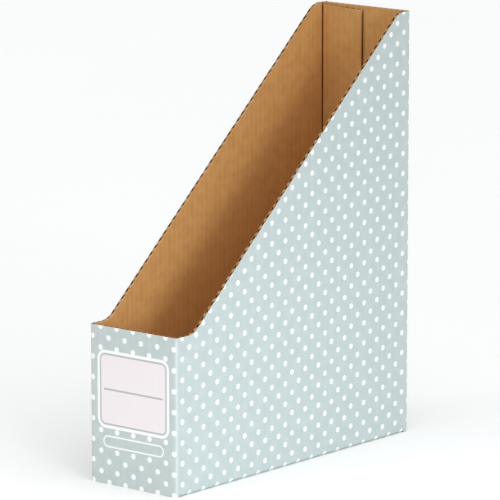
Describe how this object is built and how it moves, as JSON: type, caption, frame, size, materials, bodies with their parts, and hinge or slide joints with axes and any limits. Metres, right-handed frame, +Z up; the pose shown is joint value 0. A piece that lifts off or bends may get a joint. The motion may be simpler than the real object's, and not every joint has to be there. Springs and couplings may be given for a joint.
{
  "type": "magazine file",
  "caption": "Folding magazine file in corrugated board, with sloping sides, a low front, a tall back, a tuck-in bottom and a dotted print.",
  "frame": {"origin": "middle of the footprint, at the underside of the base", "axes": "+Z up, -Y towards the low front panel, +X towards the side that carries the base's fold"},
  "size_m": [0.08, 0.26, 0.311],
  "materials": {
    "printed_liner": "matte, pale blue-green print with white dots",
    "kraft_liner": "bare kraft",
    "fluting": "bare recycled fluting",
    "crease": "crushed board, printed outside",
    "glue": "dried starch glue"
  },
  "bodies": {
    "right_side": {"right_wall_inner_liner": "kraft_liner", "right_wall_fluting": "fluting", "right_wall_outer_liner": "printed_liner", "front_right_crease": "crease", "back_right_crease": "crease", "base_crease": "crease"},
    "front": {"front_wall_inner_liner": "kraft_liner", "front_wall_fluting": "fluting", "front_wall_outer_liner": "printed_liner", "front_left_crease": "crease"},
    "left_side": {"left_wall_inner_liner": "kraft_liner", "left_wall_fluting": "fluting", "left_wall_outer_liner": "printed_liner"},
    "back": {"back_wall_inner_liner": "kraft_liner", "back_wall_fluting": "fluting", "back_wall_outer_liner": "printed_liner", "glue_lap_inner_liner": "kraft_liner", "glue_lap_fluting": "fluting", "glue_lap_outer_liner": "printed_liner", "glue_line": "glue", "back_left_crease": "crease"},
    "base": {"base_panel_inner_liner": "kraft_liner", "base_panel_fluting": "fluting", "base_panel_outer_liner": "printed_liner", "tuck_crease": "crease"},
    "tuck": {"tuck_flap_inner_liner": "kraft_liner", "tuck_flap_fluting": "fluting", "tuck_flap_outer_liner": "printed_liner"}
  },
  "joints": [
    {"name": "front_fold", "type": "hinge", "parent": "right_side", "child": "front", "pos_m": [0.0374, -0.1274, 0.056], "axis": [0, 0, 1], "range_deg": [0, 84], "deforming": ["front_right_crease"]},
    {"name": "left_fold", "type": "hinge", "parent": "front", "child": "left_side", "pos_m": [-0.0374, -0.1274, 0.056], "axis": [0, 0, -1], "range_deg": [0, 84], "deforming": ["front_left_crease"]},
    {"name": "back_fold", "type": "hinge", "parent": "right_side", "child": "back", "pos_m": [0.0374, 0.1274, 0.155], "axis": [0, 0, 1], "range_deg": [0, 84], "deforming": ["back_right_crease", "back_left_crease"]},
    {"name": "base_fold", "type": "hinge", "parent": "right_side", "child": "base", "pos_m": [0.0374, 0, 0.0026], "axis": [0, -1, 0], "range_deg": [0, 84], "deforming": ["base_crease"]},
    {"name": "tuck_fold", "type": "hinge", "parent": "base", "child": "tuck", "pos_m": [-0.034, 0, 0.0026], "axis": [0, 1, 0], "range_deg": [0, 84], "deforming": ["tuck_crease"]}
  ],
  "couplings": [
    {"joint": "left_fold", "follows": "front_fold", "ratio": 1},
    {"joint": "back_fold", "follows": "front_fold", "ratio": 1},
    {"joint": "base_fold", "follows": "front_fold", "ratio": 1},
    {"joint": "tuck_fold", "follows": "front_fold", "ratio": 1}
  ]
}
